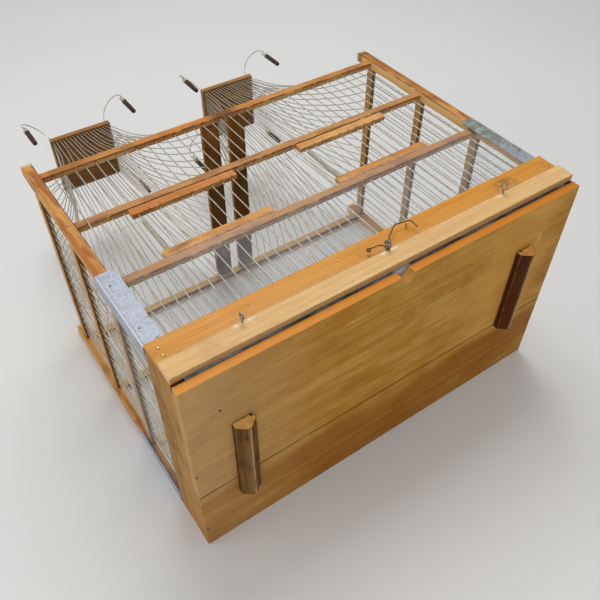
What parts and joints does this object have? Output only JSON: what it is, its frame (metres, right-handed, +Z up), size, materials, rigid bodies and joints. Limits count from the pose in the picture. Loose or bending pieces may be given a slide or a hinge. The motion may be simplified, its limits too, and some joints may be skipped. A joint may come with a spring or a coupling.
{
  "type": "bird cage",
  "caption": "Long wire and wood bird cage with twin pagoda roof towers, sprung wire doors, glass seed guards, tin corners and a sliding zinc tray under the floor.",
  "frame": {"origin": "on the floor, at the centre of the bounding box's bottom", "axes": "+Z up, the front with the doors faces -Y, +X along the cage's length to the right of a viewer at the front"},
  "size_m": [0.5016, 0.3068, 0.6172],
  "materials": {
    "honey_wood": "old clear varnish, worn at the edges",
    "pale_wood": "bare, rubbed smooth",
    "floor_wood": "plywood with a thin varnish",
    "amber_wood": "stained and varnished",
    "dark_wood": "stained, rubbed pale along the edges",
    "pendant_wood": "dark stain, satin",
    "steel_wire": "dull tinned wire",
    "spring_wire": "dull",
    "galvanised_tin": "galvanised, mottled",
    "zinc": "dull zinc sheet",
    "glass": "clear, slightly dusty",
    "eye_steel": "bright, worn",
    "latch_steel": "darkened steel",
    "brass": "dull brass",
    "nail_steel": "dark nail heads"
  },
  "bodies": {
    "cage": {"front_left_post": "honey_wood", "front_right_post": "honey_wood", "back_left_post": "honey_wood", "back_right_post": "honey_wood", "front_top_rail": "honey_wood", "front_mid_rail": "honey_wood", "front_low_rail": "honey_wood", "back_rails": "honey_wood", "left_rails": "honey_wood", "right_rails": "honey_wood", "front_strip": "honey_wood", "left_end_board": "honey_wood", "right_end_board": "honey_wood", "back_board": "honey_wood", "front_sill": "honey_wood", "base_front_plank": "floor_wood", "base_middle_plank": "floor_wood", "base_back_plank": "floor_wood", "left_valley_slat": "amber_wood", "right_valley_slat": "amber_wood", "left_cap": "amber_wood", "right_cap": "amber_wood", "left_runner": "dark_wood", "right_runner": "dark_wood", "front_wires": "steel_wire", "back_wires": "steel_wire", "left_end_wires": "steel_wire", "right_end_wires": "steel_wire", "left_roof_wires": "steel_wire", "right_roof_wires": "steel_wire", "left_curls": "steel_wire", "right_curls": "steel_wire", "door_springs": "spring_wire", "front_left_tin": "galvanised_tin", "front_right_tin": "galvanised_tin", "back_left_tin": "galvanised_tin", "back_right_tin": "galvanised_tin", "front_pane": "glass", "strip_screws": "brass", "latch_pin": "brass", "frame_nails": "nail_steel"},
    "left_door": {"left_door_bars": "honey_wood", "left_door_wires": "steel_wire"},
    "right_door": {"right_door_bars": "honey_wood", "right_door_wires": "steel_wire"},
    "drawer": {"zinc_tray": "zinc", "drawer_front": "pale_wood", "drawer_eyes": "eye_steel"},
    "latch": {"drawer_latch": "latch_steel"},
    "left_guard": {"left_pane": "glass"},
    "right_guard": {"right_pane": "glass"},
    "back_guard": {"back_pane": "glass"},
    "left_front_outer_hanger": {"left_front_outer_pendant": "pendant_wood"},
    "left_front_inner_hanger": {"left_front_inner_pendant": "pendant_wood"},
    "left_back_outer_hanger": {"left_back_outer_pendant": "pendant_wood"},
    "left_back_inner_hanger": {"left_back_inner_pendant": "pendant_wood"},
    "right_front_outer_hanger": {"right_front_outer_pendant": "pendant_wood"},
    "right_front_inner_hanger": {"right_front_inner_pendant": "pendant_wood"},
    "right_back_outer_hanger": {"right_back_outer_pendant": "pendant_wood"},
    "right_back_inner_hanger": {"right_back_inner_pendant": "pendant_wood"}
  },
  "joints": [
    {"name": "left_door_hinge", "type": "hinge", "parent": "cage", "child": "left_door", "pos_m": [-0.17258, -0.1269, 0.2175], "axis": [0, 0, -1], "range_deg": [0, 100], "stiffness_Nm_per_rad": 0.02},
    {"name": "right_door_hinge", "type": "hinge", "parent": "cage", "child": "right_door", "pos_m": [0.04474, -0.1269, 0.2175], "axis": [0, 0, -1], "range_deg": [0, 100], "stiffness_Nm_per_rad": 0.02},
    {"name": "drawer_slide", "type": "slide", "parent": "cage", "child": "drawer", "axis": [0, -1, 0], "range_m": [0, 0.22]},
    {"name": "latch_turn", "type": "hinge", "parent": "drawer", "child": "latch", "pos_m": [0, -0.1439, 0.0475], "axis": [0, -1, 0], "range_deg": [0, 75]},
    {"name": "left_guard_slide", "type": "slide", "parent": "cage", "child": "left_guard", "axis": [0, 0, 1], "range_m": [0, 0.08]},
    {"name": "right_guard_slide", "type": "slide", "parent": "cage", "child": "right_guard", "axis": [0, 0, 1], "range_m": [0, 0.08]},
    {"name": "back_guard_slide", "type": "slide", "parent": "cage", "child": "back_guard", "axis": [0, 0, 1], "range_m": [0, 0.08]},
    {"name": "left_front_outer_swing", "type": "hinge", "parent": "cage", "child": "left_front_outer_hanger", "pos_m": [-0.1984, -0.0628, 0.59053], "axis": [-0.7071, -0.7071, 0], "range_deg": [-35, 35]},
    {"name": "left_front_inner_swing", "type": "hinge", "parent": "cage", "child": "left_front_inner_hanger", "pos_m": [-0.0516, -0.0628, 0.59053], "axis": [0.7071, -0.7071, 0], "range_deg": [-35, 35]},
    {"name": "left_back_outer_swing", "type": "hinge", "parent": "cage", "child": "left_back_outer_hanger", "pos_m": [-0.1984, 0.082, 0.59053], "axis": [-0.7071, 0.7071, 0], "range_deg": [-35, 35]},
    {"name": "left_back_inner_swing", "type": "hinge", "parent": "cage", "child": "left_back_inner_hanger", "pos_m": [-0.0516, 0.082, 0.59053], "axis": [0.7071, 0.7071, 0], "range_deg": [-35, 35]},
    {"name": "right_front_outer_swing", "type": "hinge", "parent": "cage", "child": "right_front_outer_hanger", "pos_m": [0.1984, -0.0628, 0.59053], "axis": [0.7071, -0.7071, 0], "range_deg": [-35, 35]},
    {"name": "right_front_inner_swing", "type": "hinge", "parent": "cage", "child": "right_front_inner_hanger", "pos_m": [0.0516, -0.0628, 0.59053], "axis": [-0.7071, -0.7071, 0], "range_deg": [-35, 35]},
    {"name": "right_back_outer_swing", "type": "hinge", "parent": "cage", "child": "right_back_outer_hanger", "pos_m": [0.1984, 0.082, 0.59053], "axis": [0.7071, 0.7071, 0], "range_deg": [-35, 35]},
    {"name": "right_back_inner_swing", "type": "hinge", "parent": "cage", "child": "right_back_inner_hanger", "pos_m": [0.0516, 0.082, 0.59053], "axis": [-0.7071, 0.7071, 0], "range_deg": [-35, 35]}
  ]
}
